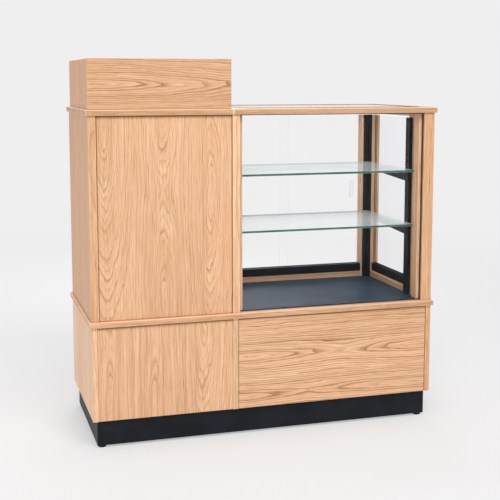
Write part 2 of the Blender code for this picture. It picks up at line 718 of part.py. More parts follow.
def build_end_hook(bracket, x, height):
    """A hook that enters the slot behind a bracket's tip."""
    hook_x = centred(x, SLOT_WIDTH - 2 * HOOK_CLEARANCE)
    tip = BACK_POST_FRONT - STANDARD_DEPTH + SLOT_DEPTH - HOOK_CLEARANCE
    hook_z = centred(height, SLOT_HEIGHT - 2 * HOOK_CLEARANCE)
    tool = box_tool(f"{bracket.name}_back_hook", hook_x, (SHELF_BACK - BRACKET_THICKNESS, tip), hook_z)
    combine(bracket, tool, "UNION")


def build_shelving():
    front_y = (STANDARD_FRONT, STANDARD_FRONT + STANDARD_WIDTH)
    back_y = (STANDARD_BACK - STANDARD_WIDTH, STANDARD_BACK)
    bracket_reach = STANDARD_DEPTH + CONTACT + BRACKET_THICKNESS / 2
    left_x = CASE_LEFT + bracket_reach
    right_x = CASE_RIGHT - bracket_reach
    build_standard("standard_front_left", CASE_LEFT, 1, front_y)
    build_standard("standard_back_left", CASE_LEFT, 1, back_y)
    build_standard("standard_front_right", CASE_RIGHT, -1, front_y)
    build_standard("standard_back_right", BACK_POST_FRONT, -1, centred(right_x, STANDARD_WIDTH), faces_y=True)
    shelf_x = between(CASE_LEFT + STANDARD_DEPTH, CASE_RIGHT - STANDARD_DEPTH)
    shelf_y = (STANDARD_FRONT - SHELF_OVERHANG, SHELF_BACK)
    heights = slot_heights()
    for level, slot in (("lower", LOWER_SHELF_SLOT), ("upper", UPPER_SHELF_SLOT)):
        height = heights[slot]
        left = build_bracket(f"bracket_{level}_left", left_x, (STANDARD_FRONT, STANDARD_BACK), height)
        build_side_hook(left, "front", left_x, CASE_LEFT, 1, sum(front_y) / 2, height)
        build_side_hook(left, "back", left_x, CASE_LEFT, 1, sum(back_y) / 2, height)
        right = build_bracket(f"bracket_{level}_right", right_x, (STANDARD_FRONT, SHELF_BACK), height)
        build_side_hook(right, "front", right_x, CASE_RIGHT, -1, sum(front_y) / 2, height)
        build_end_hook(right, right_x, height)
        bottom = height + HOOK_DROP + CONTACT
        board(f"shelf_{level}", shelf_x, shelf_y, (bottom, bottom + SHELF_GLASS), GLASS, GLASS_EDGE)


def build_lights():
    z = (LIGHT_BOTTOM, LIGHT_TOP)
    back_x = between(CASE_LEFT, CASE_RIGHT)
    back_y = (TRACK_FRONT - CONTACT - LIGHT_WIDTH, TRACK_FRONT - CONTACT)
    board("light_bar_back", back_x, back_y, z, LIGHT, METAL_EDGE)
    side_x = (CASE_RIGHT, CASE_RIGHT + LIGHT_WIDTH)
    side_y = between(FRONT_POST_BACK, BACK_POST_FRONT)
    board("light_bar_right", side_x, side_y, z, LIGHT, METAL_EDGE)


def shade_round_pieces():
    for obj in parts.objects:
        if obj.name.startswith("foot_"):
            obj.data.shade_smooth()
            obj.modifiers["turned"].use_smooth_shade = True


clear_scene()
parts = new_collection("glass_display_counter")
cutters = new_collection("cutters")
build_plinth()
build_base()
build_waist()
build_tower()
build_tower_door()
build_top()
build_header()
build_case_frame()
build_case_glass()
build_rear_doors()
build_shelving()
build_lights()
shade_round_pieces()
bpy.context.view_layer.update()
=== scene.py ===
# %% [markdown]
# # A glass display counter
# The frame already holds every board, sheet of glass and fitting at its true size and place,
# so this lesson only dresses it: a camera, a plain studio, a finish for each material and a
# few small trims that are too fine for the solid model.

# %% Load the counter
import math

import bmesh
import bpy
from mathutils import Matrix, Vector


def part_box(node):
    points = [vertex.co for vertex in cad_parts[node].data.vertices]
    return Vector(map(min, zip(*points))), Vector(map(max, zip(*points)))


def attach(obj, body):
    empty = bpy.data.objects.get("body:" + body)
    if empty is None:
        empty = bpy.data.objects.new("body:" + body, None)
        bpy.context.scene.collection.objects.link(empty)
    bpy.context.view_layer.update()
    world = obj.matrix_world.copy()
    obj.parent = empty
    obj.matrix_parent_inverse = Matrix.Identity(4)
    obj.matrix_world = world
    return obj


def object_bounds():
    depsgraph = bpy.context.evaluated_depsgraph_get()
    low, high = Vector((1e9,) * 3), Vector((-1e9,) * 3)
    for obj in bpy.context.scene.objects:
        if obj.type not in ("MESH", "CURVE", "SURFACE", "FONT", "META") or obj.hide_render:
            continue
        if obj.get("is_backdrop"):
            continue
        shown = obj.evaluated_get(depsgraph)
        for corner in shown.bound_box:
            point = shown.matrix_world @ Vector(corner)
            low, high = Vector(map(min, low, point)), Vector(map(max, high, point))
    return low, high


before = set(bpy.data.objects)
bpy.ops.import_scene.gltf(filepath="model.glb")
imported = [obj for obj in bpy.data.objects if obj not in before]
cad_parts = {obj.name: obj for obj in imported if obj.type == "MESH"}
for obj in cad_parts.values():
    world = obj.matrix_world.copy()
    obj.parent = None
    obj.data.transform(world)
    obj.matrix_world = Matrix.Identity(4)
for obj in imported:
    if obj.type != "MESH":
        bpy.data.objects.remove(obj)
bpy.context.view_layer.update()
X, Y, Z = 0, 1, 2

# %% [markdown]
# ## The camera
# A long lens stands to the left of the counter at about its own height, so that the front is
# the main face and the left end shows as a narrow strip. Aiming a camera down makes uprights
# lean together. A lens shift lowers the picture without tilting, as a view camera does, so part
# of the drop comes from the shift and the rest from a small tilt.

# %% Camera
PICTURE_SIDE = 500
FOCAL_PIXELS = 1002.9
SENSOR_WIDTH = 36.0
CAMERA_PLACE = (-1.0193, -3.4059, 1.1900)
TURN_RIGHT = math.radians(16.751)
TILT_DOWN = math.radians(6.992)
LENS_DROP = -0.09

camera_data = bpy.data.cameras.new("counter_camera")
camera_data.sensor_width = SENSOR_WIDTH
camera_data.lens = FOCAL_PIXELS / PICTURE_SIDE * SENSOR_WIDTH
camera_data.shift_y = LENS_DROP
camera = bpy.data.objects.new("counter_camera", camera_data)
camera.location = CAMERA_PLACE
camera.rotation_euler = (math.pi / 2 - TILT_DOWN, 0, -TURN_RIGHT)
bpy.context.scene.collection.objects.link(camera)
bpy.context.scene.camera = camera
bpy.context.scene.view_settings.view_transform = "Standard"
print("lens", round(camera_data.lens, 1), "mm")

# %% [markdown]
# ## Writing shaders as sums
# A shader is a graph, and a long graph is hard to read. Here a socket is wrapped in a small
# class, so that `1 - mask * 0.5` adds its own Math nodes. Every other kind of node comes from
# one method, which sets the node's settings first and then fills or links its sockets.

# %% A socket that can be added and multiplied
class Wire:
    """One output of a finish. Arithmetic on it adds Math nodes."""

    def __init__(self, finish, socket):
        self.finish = finish
        self.socket = socket

    def math(self, operation, *others):
        sockets = dict(enumerate((self, *others)))
        return self.finish.node("ShaderNodeMath", {"operation": operation}, sockets)

    def turned(self, operation, other):
        sockets = {0: other, 1: self}
        return self.finish.node("ShaderNodeMath", {"operation": operation}, sockets)

    def __add__(self, other):
        return self.math("ADD", other)

    def __sub__(self, other):
        return self.math("SUBTRACT", other)

    def __mul__(self, other):
        return self.math("MULTIPLY", other)

    def __truediv__(self, other):
        return self.math("DIVIDE", other)

    def __pow__(self, other):
        return self.math("POWER", other)

    def __rsub__(self, other):
        return self.turned("SUBTRACT", other)

    def __rtruediv__(self, other):
        return self.turned("DIVIDE", other)

    def __rpow__(self, other):
        return self.turned("POWER", other)

    __radd__ = __add__
    __rmul__ = __mul__


print("a wire knows + - * / and **")

# %% [markdown]
# ## A finish
# Every material is a Principled shader with a few wires into it. The class below keeps the
# material, its node tree and the steps that all finishes share: where a point lies on its
# piece, which way its face looks, soft noise with so many waves per metre, a smooth step, a
# blend of two colours, and a bump.

# %% A material and the nodes that all finishes share
FIRST_COLOUR, SECOND_COLOUR, MIXED_COLOUR = 6, 7, 2


class Finish:
    """A material with a Principled shader."""

    def __init__(self, name, **constants):
        self.material = bpy.data.materials.new(name)
        self.material.use_nodes = True
        self.tree = self.material.node_tree
        self.shader = next(n for n in self.tree.nodes if n.type == "BSDF_PRINCIPLED")
        for socket, value in constants.items():
            self.shader.inputs[socket.replace("_", " ")].default_value = value

    def node(self, kind, settings, sockets, out=0):
        made = self.tree.nodes.new(kind)
        for key, value in settings.items():
            setattr(made, key, value)
        for key, value in sockets.items():
            self.feed(made.inputs[key], value)
        return Wire(self, made.outputs[out])

    def feed(self, socket, value):
        if isinstance(value, Wire):
            self.tree.links.new(value.socket, socket)
        else:
            socket.default_value = value

    def paint(self, **wires):
        for socket, value in wires.items():
            self.feed(self.shader.inputs[socket.replace("_", " ")], value)

    def parts(self, vector):
        split = self.tree.nodes.new("ShaderNodeSeparateXYZ")
        self.feed(split.inputs[0], vector)
        return [Wire(self, output) for output in split.outputs]

    def place(self):
        return self.parts(self.node("ShaderNodeTexCoord", {}, {}, "Object"))

    def normal(self):
        return self.parts(self.node("ShaderNodeTexCoord", {}, {}, "Normal"))

    def vector(self, x, y, z):
        return self.node("ShaderNodeCombineXYZ", {}, {0: x, 1: y, 2: z})

    def noise(self, vector, detail):
        sockets = {"Vector": vector, "Scale": 1.0, "Detail": detail}
        return self.node("ShaderNodeTexNoise", {}, sockets)

    def clouds(self, place, waves, detail):
        """Noise with so many waves per metre: one number for all axes, or one for each."""
        each = waves if isinstance(waves, tuple) else (waves, waves, waves)
        return self.noise(self.vector(*(p * w for p, w in zip(place, each))), detail)

    def ramp(self, value, low, high, start=0.0, end=1.0):
        settings = {"interpolation_type": "SMOOTHSTEP"}
        sockets = {0: value, 1: low, 2: high, 3: start, 4: end}
        return self.node("ShaderNodeMapRange", settings, sockets)

    def blend(self, share, first, second, how="MIX"):
        settings = {"data_type": "RGBA", "blend_type": how}
        sockets = {0: share, FIRST_COLOUR: first, SECOND_COLOUR: second}
        return self.node("ShaderNodeMix", settings, sockets, MIXED_COLOUR)

    def bump(self, height, depth, strength):
        sockets = {"Height": height, "Distance": depth, "Strength": strength}
        self.paint(Normal=self.node("ShaderNodeBump", {}, sockets))


def colour(red, green, blue):
    """A colour written in picture values of 0 to 255, as the linear light that shaders use."""
    values = [v / 255 for v in (red, green, blue)]
    linear = [v / 12.92 if v < 0.04045 else ((v + 0.055) / 1.055) ** 2.4 for v in values]
    return (*linear, 1.0)


print("white as a shader sees it:", colour(255, 255, 255)[:3])

# %% [markdown]
# ## The studio
# A seamless paper sweep has no horizon. It could be built as a curved sheet, but a curved sheet has
# a right side and a wrong side, and this counter is looked at from all round. So the floor is one
# flat disc that is lit near the counter, where it takes the shadow, and turns by distance into the
# same pale tone that the world shows behind it. Near the counter the eye also sees a share of
# painted light, paler than the far tone, which softens that shadow. That glow is only looked at,
# straight or in a reflection. It throws no light on the counter.

# %% Floor
FAR_TONE = colour(239, 239, 240)
# Near the counter a share of the floor is painted light, paler than the far tone, which softens the
# counter's shadow.
NEAR_PAINTED_LIGHT = colour(252, 252, 252)
FLOOR_TONE = colour(234, 234, 235)
FLOOR_REACH = 30.0
NEAR_REACH = 0.8
LIT_REACH = 1.4
PALE_REACH = 5.0
PAINTED_LIGHT_SHARE = 0.45
DISC_CORNERS = 96
MIRROR_RAYS = ("Is Glossy Ray", "Is Transmission Ray")

disc = bmesh.new()
bmesh.ops.create_circle(disc, cap_ends=True, radius=FLOOR_REACH, segments=DISC_CORNERS)
floor_mesh = bpy.data.meshes.new("studio_floor")
disc.to_mesh(floor_mesh)
disc.free()
floor = bpy.data.objects.new("studio_floor", floor_mesh)
bpy.context.scene.collection.objects.link(floor)
floor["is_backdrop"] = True

paper = Finish("studio_paper", Roughness=0.75, Base_Color=FLOOR_TONE, Specular_IOR_Level=0.15)
east, north, _ = paper.place()
away = (east * east + north * north).math("SQRT")
paper_tone = paper.blend(paper.ramp(away, NEAR_REACH, PALE_REACH), NEAR_PAINTED_LIGHT, FAR_TONE)
glow = paper.node("ShaderNodeEmission", {}, {"Color": paper_tone, "Strength": 1.0})
seen = paper.node("ShaderNodeLightPath", {}, {}, "Is Camera Ray")
for ray in MIRROR_RAYS:
    seen = seen.math("MAXIMUM", paper.node("ShaderNodeLightPath", {}, {}, ray))
# Within reach of the counter this share of painted light lifts its shadow; further off the glow is
# the plain backdrop.
glow_share = paper.ramp(away, LIT_REACH, PALE_REACH, PAINTED_LIGHT_SHARE) * seen
lit_paper = Wire(paper, paper.shader.outputs[0])
sweep = paper.node("ShaderNodeMixShader", {}, {0: glow_share, 1: lit_paper, 2: glow})
paper_output = next(n for n in paper.tree.nodes if n.type == "OUTPUT_MATERIAL")
paper.feed(paper_output.inputs["Surface"], sweep)
floor_mesh.materials.append(paper.material)
print("floor", 2 * FLOOR_REACH, "m across")

# %% [markdown]
# ## The world
# The world has two tones. One is the weak light that comes from all round and fills the shadows.
# The other is what the eye, a mirror or a sheet of glass sees behind the counter, and it is the
# far tone of the floor, so that floor and backdrop meet without a line. A light path node tells
# which kind of ray asks.

# %% World
SKY_TONE = (0.985, 0.99, 1.0, 1.0)
SKY_LIGHT = 0.46

world = bpy.data.worlds.new("studio_world")
world.use_nodes = True
bpy.context.scene.world = world
sky_tree = world.node_tree
sky = next(n for n in sky_tree.nodes if n.type == "BACKGROUND")
sky.inputs["Color"].default_value = SKY_TONE
sky.inputs["Strength"].default_value = SKY_LIGHT
backdrop = sky_tree.nodes.new("ShaderNodeBackground")
backdrop.inputs["Color"].default_value = FAR_TONE
path = sky_tree.nodes.new("ShaderNodeLightPath")
looking = path.outputs["Is Camera Ray"]
for ray in MIRROR_RAYS:
    either = sky_tree.nodes.new("ShaderNodeMath")
    either.operation = "MAXIMUM"
    sky_tree.links.new(looking, either.inputs[0])
    sky_tree.links.new(path.outputs[ray], either.inputs[1])
    looking = either.outputs[0]
choice = sky_tree.nodes.new("ShaderNodeMixShader")
sky_tree.links.new(looking, choice.inputs[0])
sky_tree.links.new(sky.outputs[0], choice.inputs[1])
sky_tree.links.new(backdrop.outputs[0], choice.inputs[2])
sky_output = next(n for n in sky_tree.nodes if n.type == "OUTPUT_WORLD")
sky_tree.links.new(choice.outputs[0], sky_output.inputs["Surface"])
print("sky light", SKY_LIGHT)

# %% [markdown]
# ## Lamps
# Four soft boxes do the work of a shop studio. One hangs in front, halfway up to the zenith, so
# the rails throw a soft shadow on the panels and the tops still get no more light than the
# front. One stands at the left and fills the end, a weak one hangs overhead, and one lights the
# staff side. A wide lamp gives a soft edge. Their powers are set so that the front of the
# counter receives about as much light as a white card needs to look white.

# %% Lamps
AIM = Vector((0.0, 0.0, 0.6))
LAMPS = {  # place, width and height in metres, and power in watts
    "front_box": ((-0.15, -2.9, 4.0), (2.6, 1.3), 115.0),
    "end_box": ((-3.6, -1.2, 1.3), (1.8, 1.4), 17.0),
    "roof_box": ((0.0, 0.6, 4.3), (4.2, 4.2), 12.0),
    "back_box": ((0.3, 3.4, 2.4), (2.4, 1.6), 42.0),
}
for lamp_name, (spot, spread, power) in LAMPS.items():
    lamp_data = bpy.data.lights.new(lamp_name, "AREA")
    lamp_data.shape = "RECTANGLE"
    lamp_data.size, lamp_data.size_y = spread
    lamp_data.energy = power
    lamp = bpy.data.objects.new(lamp_name, lamp_data)
    lamp.location = spot
    lamp.rotation_euler = (AIM - Vector(spot)).to_track_quat("-Z", "Y").to_euler()
    bpy.context.scene.collection.objects.link(lamp)
print("lamps:", ", ".join(LAMPS))

# %% [markdown]
# ## Where a board is rubbed
# Edges wear first, on oak, on laminate and on powder coat alike, so every finish asks how far a
# point is from an edge of its board. An edge is where two faces meet. A point near one face has
# one small distance, and a point near an edge has two, so the larger of each pair is taken, and
# then the smallest of the three pairs. No edge has to be marked or bevelled for it.

# %% Distances on a board
def face_distance(place, low, high, axis):
    """How far a point is from the nearer of the two faces across one axis."""
    return (place[axis] - low[axis]).math("MINIMUM", high[axis] - place[axis])


def edge_distance(place, low, high):
    """How far a point of a board's face is from the nearest edge of the board."""
    x, y, z = (face_distance(place, low, high, axis) for axis in (X, Y, Z))
    pairs = [one.math("MAXIMUM", other) for one, other in ((x, y), (y, z), (x, z))]
    return pairs[0].math("MINIMUM", pairs[1]).math("MINIMUM", pairs[2])


print("boards and fittings to measure:", len(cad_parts))

# %% [markdown]
# ## Oak
# The boards are plain-sawn oak under clear lacquer. Wood is a stack of growth rings, and the
# arches on a board are those rings cut at a slant, so the finish grows a log instead of drawing
# stripes. For each leaf of veneer there is a heart line some way behind the face. The distance
# of a point from that line picks its ring, and as the line comes nearer or goes further along
# the board the rings close into arches. The same sum gives long straight grain on the edges and
# curved end grain on the ends, with no seam between them.
#
# Each ring starts dark and full of pores and fades to dense pale late wood. Short dark pores, long
# fibres, a slow drift of tone and edges rubbed a little paler come on top; the paler edges are
# partly wear and partly a painted highlight on the arrises. Where oak is darker it is also redder,
# so the shade is raised to a higher power in green and in blue. Where a panel meets an upright or a
# rail, the shadow that the upright or the rail throws is painted on, so a panel can have a dark
# painted shadow line along its sides and its head.

# %% The colours and measures of oak
OAK_PALE = colour(243, 203, 164)
OAK_WARM = colour(234, 186, 146)
OAK_DARK = colour(192, 137, 94)
OAK_PORE = colour(160, 106, 68)
# Paler oak at the edges: worn lacquer and a painted highlight on the arrises.
OAK_RUBBED_HIGHLIGHT = colour(252, 222, 190)
# Painted shade: the shadow line where a panel meets an upright or runs under a rail.
OAK_JOINT_SHADE = colour(126, 80, 50)
WOOD_WAVES = {  # waves per metre across and along the grain, and layers of detail
    "drift": (9.0, 0.9, 2.0),
    "wander": (16.0, 2.6, 3.0),
    "feather": (95.0, 16.0, 2.0),
    "streak": (160.0, 0.9, 2.0),
    "fibre": (380.0, 13.0, 3.0),
    "pore": (620.0, 22.0, 1.0),
}
RING_WIDTH = 0.0066
TURN_ROUND = 0.015  # a heart line bends within this length
HEART_DRIFT, HEART_WANDER = 0.03, 0.024  # metres that a heart line strays
RING_WANDER, RING_FEATHER = 0.008, 0.006  # metres that a ring strays
EARLY_FADE, EARLY_START, LEAN_YEAR = 2.6, 0.10, 0.20
SEASON_RINGS, SEASON_LENGTH, SEASON_DRIFT = 0.34, 0.8, 0.6
EARLY_SHOWS, STREAK_SHOWS, PORE_SHOWS, JOINT_SHADE_SHOWS = 1.25, 0.26, 0.45, 0.65
FIBRE_SHADE, DRIFT_SHADE = 0.50, 0.36
GREEN_POWER, BLUE_POWER = 1.4, 1.8
# How far from an edge the oak is paled, by wear and by a painted highlight.
RUB_HIGHLIGHT_START, RUB_HIGHLIGHT_WIDTH, RUB_HIGHLIGHT_GROWTH = 0.0004, 0.0022, 0.0030
BOARD_WEAR_AND_HIGHLIGHT, RAIL_WEAR_AND_HIGHLIGHT = 0.25, 0.85
STREAK_STEP, PORE_STEP, SEASON_STEP = (0.04, 0.18), (0.06, 0.20), (0.2, 0.8)
LATE_PORES = 0.25  # the share of pores outside the early wood
OAK_ROUGHNESS, GRAIN_DEPTH, GRAIN_STRENGTH = 0.42, 0.00025, 0.5
print("waves of oak:", ", ".join(WOOD_WAVES))


# %% The oak finish
def oak(node, grain, face, leaves, ring=RING_WIDTH, figure=1.0, tone_and_shade=1.0, warmth=1.0, seed=0.0,
        rub_and_highlight=BOARD_WEAR_AND_HIGHLIGHT, joint_shade=(0.0, 0.0), box=None):
    """Oak for one board. A leaf is a heart line: its distance from the board's edge, its depth
    below the face where it turns, how steeply it leans away from there, and where along the board
    it turns. A joint shade is the width of the painted shadow line at the sides and at the head."""
    low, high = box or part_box(node)
    width_axis = 3 - grain - face
    wood = Finish("oak_" + node, Coat_Weight=0.03, Coat_Roughness=0.22, Specular_IOR_Level=0.15)
    place = wood.place()
    along = place[grain] - (low[grain] + high[grain]) / 2
    across = place[width_axis] - low[width_axis]
    through = place[face]
    deep = through - (low[face] + high[face]) / 2

    def waves(kind):
        """Noise about zero with many waves per metre across the grain and few along it."""
        fine, slow, detail = WOOD_WAVES[kind]
        spread = across * fine + seed, along * slow - seed, through * fine + 2 * seed
        return wood.noise(wood.vector(*spread), detail) - 0.5

    drift, wander, feather, fibre = (waves(k) for k in ("drift", "wander", "feather", "fibre"))
    nearest = None
    for heart, depth, lean, turn in leaves:
        beyond = along - turn
        rise = (beyond * beyond + TURN_ROUND ** 2).math("SQRT") * lean
        behind = depth + rise + drift * HEART_DRIFT + deep
        sideways = across - heart + wander * HEART_WANDER
        radius = (sideways * sideways + behind * behind).math("SQRT")
        nearest = radius if nearest is None else nearest.math("MINIMUM", radius)
    ring_count = (nearest + wander * RING_WANDER + feather * RING_FEATHER) / ring
    phase = ring_count.math("FRACT")
    year = wood.node("ShaderNodeTexWhiteNoise", {"noise_dimensions": "1D"},
                     {"W": ring_count.math("FLOOR")})
    early = (1 - phase) ** EARLY_FADE * wood.ramp(phase, 0.0, EARLY_START)
    early = early * (LEAN_YEAR + year * year * (1 - LEAN_YEAR))
    season = wood.noise(wood.vector(ring_count * SEASON_RINGS, seed, along * SEASON_LENGTH), 2.0)
    streaks = wood.ramp(waves("streak"), *STREAK_STEP)
    pores = wood.ramp(waves("pore"), *PORE_STEP) * (LATE_PORES + early)
    # Edges are paled, partly as wear and partly as a painted highlight along the arrises.
    rub_and_highlight_end = RUB_HIGHLIGHT_WIDTH + rub_and_highlight * RUB_HIGHLIGHT_GROWTH
    rubbed = wood.ramp(edge_distance(place, low, high), RUB_HIGHLIGHT_START, rub_and_highlight_end, 1.0, 0.0)

    warm = wood.ramp(season + drift * SEASON_DRIFT, *SEASON_STEP)
    base = wood.blend(warm, OAK_PALE, OAK_WARM)
    base = wood.blend((early * figure * EARLY_SHOWS).math("MINIMUM", 1.0), base, OAK_DARK)
    base = wood.blend(streaks * STREAK_SHOWS, base, OAK_DARK)
    base = wood.blend(pores * PORE_SHOWS, base, OAK_PORE)
    shade = 1 + fibre * FIBRE_SHADE + drift * DRIFT_SHADE
    green, blue = shade ** GREEN_POWER, shade ** BLUE_POWER
    # The tone of a board is partly its own shade of oak and partly painted light and shade.
    tint = wood.vector(shade * tone_and_shade, green * (tone_and_shade / warmth), blue * (tone_and_shade / warmth ** 2))
    base = wood.blend(1.0, base, tint, "MULTIPLY")
    base = wood.blend(rubbed * rub_and_highlight, base, OAK_RUBBED_HIGHLIGHT)
    # The dark lines at the sides and the head are painted shade: the shadow of the upright or the
    # rail beside the panel.
    side_shade, head_shade = joint_shade
    if side_shade:
        gap = face_distance(place, low, high, X)
        painted_shade = wood.ramp(gap, side_shade / 2, side_shade, JOINT_SHADE_SHOWS, 0.0)
        base = wood.blend(painted_shade, base, OAK_JOINT_SHADE)
    if head_shade:
        gap = high[Z] - place[Z]
        painted_shade = wood.ramp(gap, head_shade / 2, head_shade, JOINT_SHADE_SHOWS, 0.0)
        base = wood.blend(painted_shade, base, OAK_JOINT_SHADE)
    wood.paint(Base_Color=base)
    wood.paint(Roughness=OAK_ROUGHNESS + pores * 0.18 - rubbed * 0.06 + fibre * 0.08)
    wood.bump(fibre * 0.3 - pores * 0.6 - early * 0.15, GRAIN_DEPTH, GRAIN_STRENGTH)
    return wood.material


print("a ring of oak is", RING_WIDTH, "m wide unless a board says otherwise")

# %% [markdown]
# ## The figured panels
# Real boards are cut from different logs, so each gets its own seed and its own way through the
# log. The wide front panels carry the show figure: upright leaves side by side on the tower and
# on the left of the base, and one broad level figure on the header and on the right of the base.

# %% The figured panels
def dress(node, material):
    """Puts one finish on all of a node's faces."""
    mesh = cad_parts[node].data
    mesh.materials.clear()
    mesh.materials.append(material)


# A panel's tone is partly its own shade of oak and partly painted shade, as on the header; its
# joint is a painted shadow line.
FIGURED = {
    "tower_panel": dict(
        grain=Z, face=Y, seed=3.1, ring=0.0050, figure=0.95, warmth=1.03, joint_shade=(0.0045, 0.0060),
        leaves=[(0.026, 0.006, 0.140, 0.35), (0.216, 0.056, -0.130, 0.09),
                (0.374, 0.004, 0.120, 0.07)]),
    "base_left_panel": dict(
        grain=Z, face=Y, seed=8.4, ring=0.0050, figure=0.9, tone_and_shade=1.03, warmth=1.03,
        joint_shade=(0.0, 0.0070),
        leaves=[(0.036, 0.030, -0.120, 0.09), (0.186, 0.034, -0.110, 0.12),
                (0.356, 0.016, 0.110, 0.12)]),
    "base_right_panel": dict(
        grain=X, face=Y, seed=5.7, ring=0.0070, figure=2.0, tone_and_shade=1.06, joint_shade=(0.0035, 0.0070),
        leaves=[(0.176, 0.036, -0.092, 0.02), (0.040, 0.030, -0.060, -0.10)]),
    "header_front": dict(
        grain=X, face=Y, seed=1.9, ring=0.0058, figure=1.7, tone_and_shade=0.90, warmth=1.04,
        leaves=[(0.078, 0.004, 0.085, -0.26)]),
    "tower_door": dict(
        grain=Z, face=Y, seed=12.2,
        leaves=[(0.070, 0.010, 0.090, -0.35), (0.225, 0.050, -0.090, 0.05),
                (0.370, 0.008, 0.090, 0.30)]),
}
for board, cut in FIGURED.items():
    dress(board, oak(board, **cut))
print("figured boards:", ", ".join(FIGURED))

# %% [markdown]
# ## The straight boards
# Rails, posts, sides and shelves are cut straight, so their one heart line lies far off to one side
# and the rings pass as long lines. The boards are listed by the way their grain runs and the way
# they face. Hands and bags rub the rails, and their rounded arrises carry a painted highlight, so
# their edges are paled the most, partly as wear and partly as painted light.

# %% The straight boards
STRAIGHT = {
    (Z, X): ["tower_left_side", "tower_partition", "base_left_side", "base_right_side",
             "base_partition", "header_left", "header_right"],
    (Z, Y): ["post_front_right", "post_back_right"],
    (X, Z): ["waist_board", "tower_top", "tower_shelf", "storage_shelf", "base_bottom",
             "header_top"],
    (X, Y): ["top_rail_front", "top_rail_back", "rear_sill", "header_back"],
    (Y, X): ["top_rail_left", "top_rail_right", "side_sill"],
}
FAR_HEART = -0.22
STRAIGHT_CUT = [(FAR_HEART, 0.05, 0.03, -1.0)]
RAILS = ("waist_board", "tower_top", "top_rail_front", "top_rail_back", "top_rail_left",
         "top_rail_right")
# Tones and warmths are partly each board's own shade of oak and partly painted light and shade,
# such as the darker sills, where shade falls.
TONES_AND_SHADE = dict.fromkeys(RAILS, (0.80, 1.06))  # tone and warmth, 1 and 1 where none is given
TONES_AND_SHADE.update({
    "tower_left_side": (0.92, 1.11),
    "tower_partition": (1.10, 0.98),
    "header_left": (0.96, 1.12),
    "post_front_right": (1.0, 1.08),
    "base_left_side": (1.16, 0.96),
    "base_right_side": (1.0, 1.05),
    "waist_board": (0.94, 1.08),
    "rear_sill": (0.82, 1.0),
    "side_sill": (0.88, 1.0),
})
FIRST_SEED, SEED_STEP = 20.0, 3.7
seed = FIRST_SEED
for (grain, face), boards in STRAIGHT.items():
    for board in boards:
        seed += SEED_STEP
        tone_and_shade, warmth = TONES_AND_SHADE.get(board, (1.0, 1.0))
        # Rails get the most edge paling, partly wear and partly a painted highlight.
        wear_and_highlight = RAIL_WEAR_AND_HIGHLIGHT if board in RAILS else BOARD_WEAR_AND_HIGHLIGHT
        finish = oak(board, grain, face, STRAIGHT_CUT, tone_and_shade=tone_and_shade, warmth=warmth, seed=seed,
                     rub_and_highlight=wear_and_highlight)
        dress(board, finish)
print("straight boards:", sum(len(boards) for boards in STRAIGHT.values()))

# %% [markdown]
# ## Black laminate on the plinth
# The plinth is faced with matt charcoal laminate. A plain dark colour would look like a hole, so
# it has the faint cloudiness of pressed paper, a fine pressed grain, edges rubbed grey and a band
# of dull scuffs near the floor, where shoes touch it.

# %% The plinth finish
LAMINATE_DARK, LAMINATE_SOFT = colour(17, 21, 27), colour(25, 29, 36)
LAMINATE_RUBBED, SCUFF = colour(74, 76, 82), colour(56, 57, 60)
PAPER_CLOUDS, PRESSED_GRIT, SCUFF_STROKES = 14, 1400, (26, 26, 190)
SCUFF_FULL, SCUFF_END = 0.010, 0.055  # metres above the foot of the plinth
LAMINATE_RUB = (0.0003, 0.0018)
LAMINATE_ROUGHNESS, GRIT_DEPTH, GRIT_STRENGTH = 0.46, 0.00006, 0.6


def laminate(node, box=None):
    """Laminate for a board of the plinth, or for a trim whose box is given."""
    low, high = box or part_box(node)
    sheet = Finish("laminate_" + node, Specular_IOR_Level=0.18)
    place = sheet.place()
    cloud = sheet.clouds(place, PAPER_CLOUDS, 3.0)
    grit = sheet.clouds(place, PRESSED_GRIT, 1.0)
    near_floor = sheet.ramp(place[Z], low[Z] + SCUFF_FULL, low[Z] + SCUFF_END, 1.0, 0.0)
    scuffs = sheet.ramp(sheet.clouds(place, SCUFF_STROKES, 3.0), 0.60, 0.72) * near_floor
    rubbed = sheet.ramp(edge_distance(place, low, high), *LAMINATE_RUB, 1.0, 0.0)
    base = sheet.blend(sheet.ramp(cloud, 0.35, 0.65), LAMINATE_DARK, LAMINATE_SOFT)
    base = sheet.blend(scuffs * 0.35, base, SCUFF)
    base = sheet.blend(rubbed * sheet.ramp(cloud, 0.45, 0.75) * 0.4, base, LAMINATE_RUBBED)
    sheet.paint(Base_Color=base)
    sheet.paint(Roughness=LAMINATE_ROUGHNESS + grit * 0.10 + scuffs * 0.15 - rubbed * 0.10)
    sheet.bump(grit, GRIT_DEPTH, GRIT_STRENGTH)
    return sheet.material


PLINTH = ["plinth_front", "plinth_back", "plinth_left", "plinth_right"]
for board in PLINTH:
    dress(board, laminate(board))
print("laminated:", ", ".join(PLINTH))

# %% [markdown]
# ## Powder coat on the shelf fittings
# The standards, brackets, tracks and channel are steel with a satin black powder coat. Powder
# melts into a skin with a slight orange peel, which shows only in the way highlights break up,
# so it is a low bump and a wandering roughness over a nearly even blue-black.

# %% The powder coat
COAT_DARK, COAT_SOFT, COAT_RUBBED = colour(14, 18, 23), colour(23, 28, 34), colour(72, 77, 84)
ORANGE_PEEL, COAT_CLOUDS = 520, 30
COAT_RUB = (0.0002, 0.0011)
COAT_ROUGHNESS, PEEL_DEPTH, PEEL_STRENGTH = 0.36, 0.00008, 0.7


